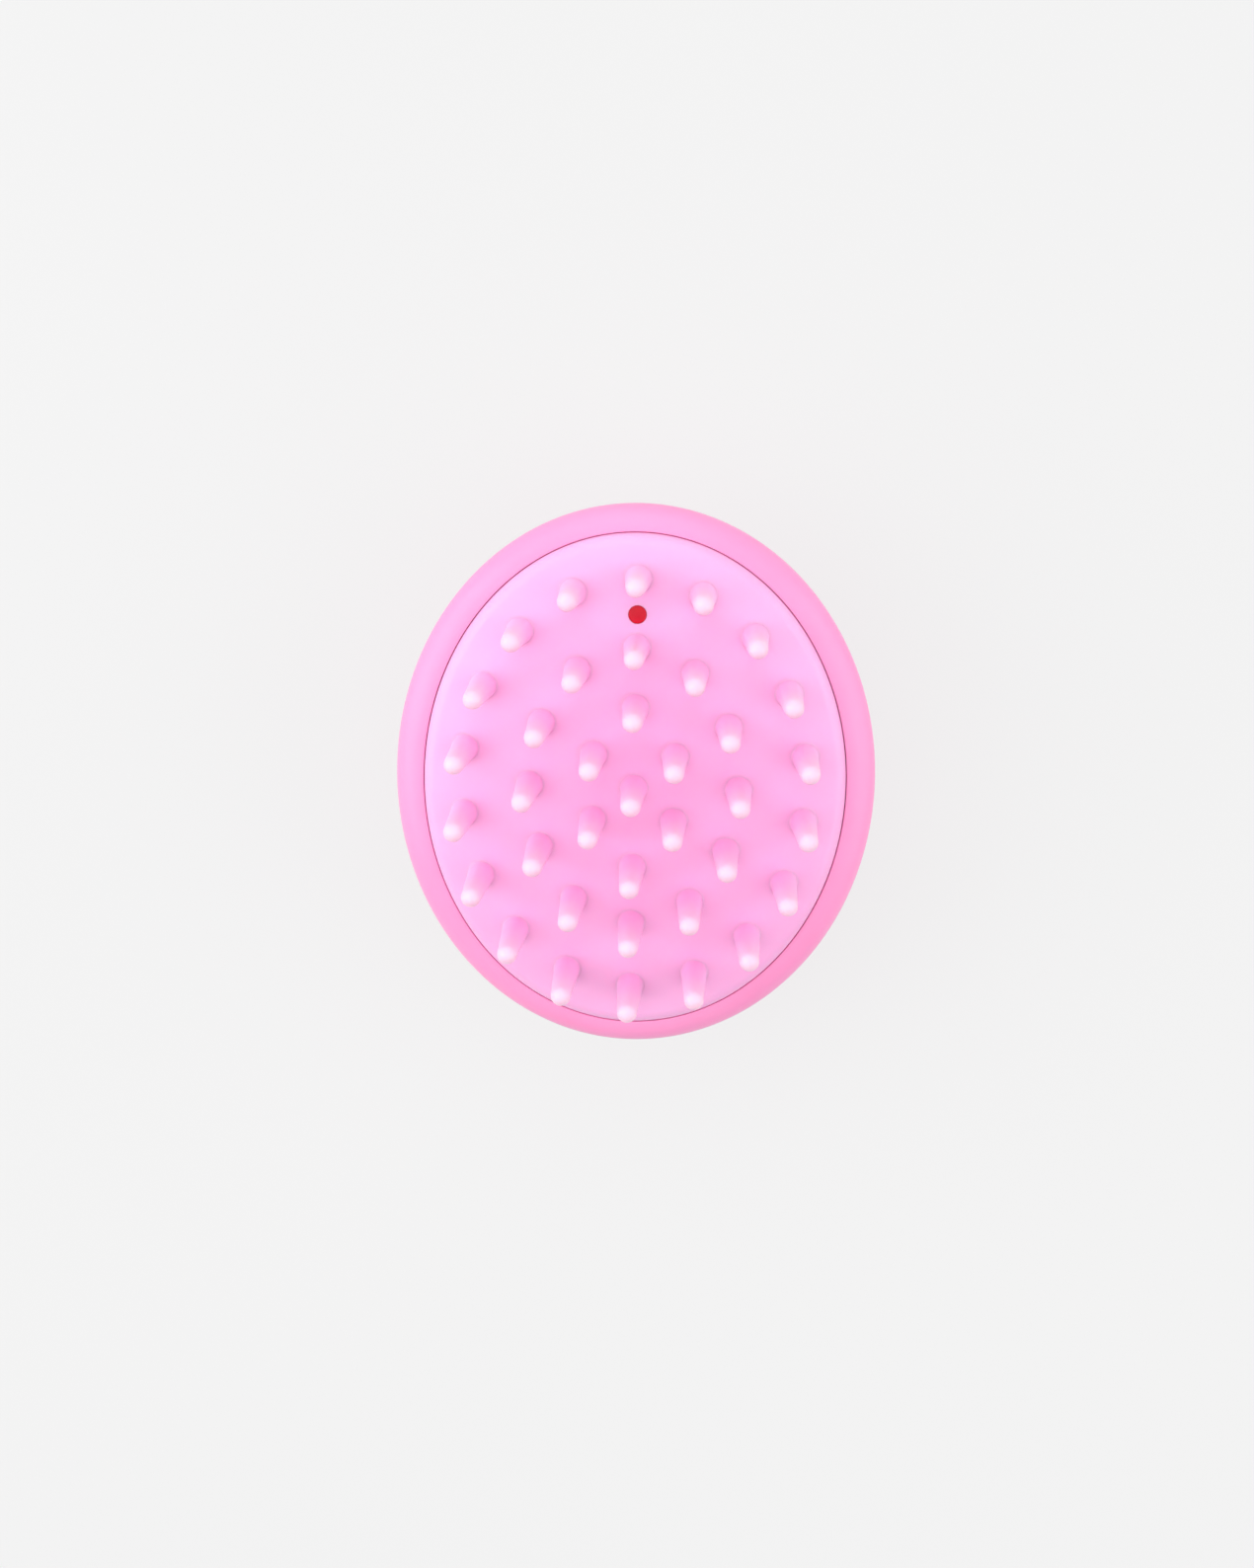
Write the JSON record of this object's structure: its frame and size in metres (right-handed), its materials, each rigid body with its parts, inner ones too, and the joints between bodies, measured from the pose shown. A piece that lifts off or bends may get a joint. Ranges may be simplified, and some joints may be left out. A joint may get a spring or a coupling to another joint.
{
  "type": "scalp massager brush",
  "caption": "Oval palm-held vibrating scalp massager: soft domed pad of round-tipped bristles in oval rings, rolled rim, finger waist and domed palm grip.",
  "frame": {"origin": "middle of the flat crown of the palm grip, the face the brush rests on", "axes": "+Z out of the bristle face, +Y towards the indicator light, along the long way of the oval, +X across it"},
  "size_m": [0.0804, 0.0928, 0.0532],
  "materials": {
    "shell": "satin pink ABS",
    "seal": "black rubber",
    "carrier": "as moulded",
    "silicone": "matte pink silicone",
    "bristle": "matte pale pink silicone, slightly translucent",
    "window": "clear red, polished",
    "led_lens": "red epoxy",
    "board": "green solder mask",
    "screw": "zinc plated",
    "chip": "black epoxy",
    "socket_steel": "satin",
    "white_plastic": "natural nylon",
    "black_plastic": "as moulded",
    "button": "satin pink ABS",
    "spring_steel": "bright drawn wire",
    "silicone_trim": "matte pink silicone",
    "cell_foil": "aluminium laminate",
    "foam": "black foam",
    "motor_steel": "nickel plated",
    "magnet": "grey ferrite",
    "bush": "sintered bronze",
    "shaft_steel": "ground",
    "armature": "varnished copper winding",
    "weight": "sintered tungsten",
    "red_lead": "red sleeve",
    "blue_lead": "blue sleeve",
    "yellow_lead": "yellow sleeve"
  },
  "bodies": {
    "brush": {"back_shell": "shell", "rim_shell": "shell", "shell_seal": "seal", "pad_carrier": "carrier", "bristle_pad": "silicone", "bristle_center": "bristle", "bristles_inner": "bristle", "bristles_middle": "bristle", "bristles_outer": "bristle", "led_window": "window", "indicator_led": "led_lens", "led_board": "board", "led_board_screws": "screw", "main_board": "board", "board_components": "chip", "board_screws": "screw", "usb_socket": "socket_steel", "lead_connectors": "white_plastic", "switch_body": "black_plastic", "button_spring": "spring_steel", "button_guide": "white_plastic", "plug_anchor": "silicone_trim", "battery_cell": "cell_foil", "battery_foam": "foam", "motor_can": "motor_steel", "motor_end_cap": "white_plastic", "motor_magnets": "magnet", "motor_bush": "bush", "motor_sleeve": "seal", "motor_clamp": "white_plastic", "clamp_screws": "screw", "carrier_screws": "screw", "shell_screws": "screw", "battery_leads": "red_lead", "motor_leads": "blue_lead", "led_leads": "yellow_lead"},
    "rotor": {"motor_shaft": "shaft_steel", "motor_armature": "armature", "eccentric_weight": "weight"},
    "button": {"power_button": "button", "switch_plunger": "black_plastic", "button_seal": "seal"},
    "flap": {"port_plug": "silicone_trim"}
  },
  "joints": [
    {"name": "motor_spin", "type": "hinge", "parent": "brush", "child": "rotor", "pos_m": [0, 0, 0.027], "axis": [0, 1, 0], "continuous": true},
    {"name": "button_press", "type": "slide", "parent": "brush", "child": "button", "axis": [0, 0, 1], "range_m": [0, 0.0005], "stiffness_N_per_m": 800, "springref_m": -0.0005, "deforming": ["button_spring"]},
    {"name": "plug_open", "type": "hinge", "parent": "brush", "child": "flap", "pos_m": [0, -0.0363, 0.016], "axis": [-1, 0, 0], "range_deg": [0, 110]}
  ]
}
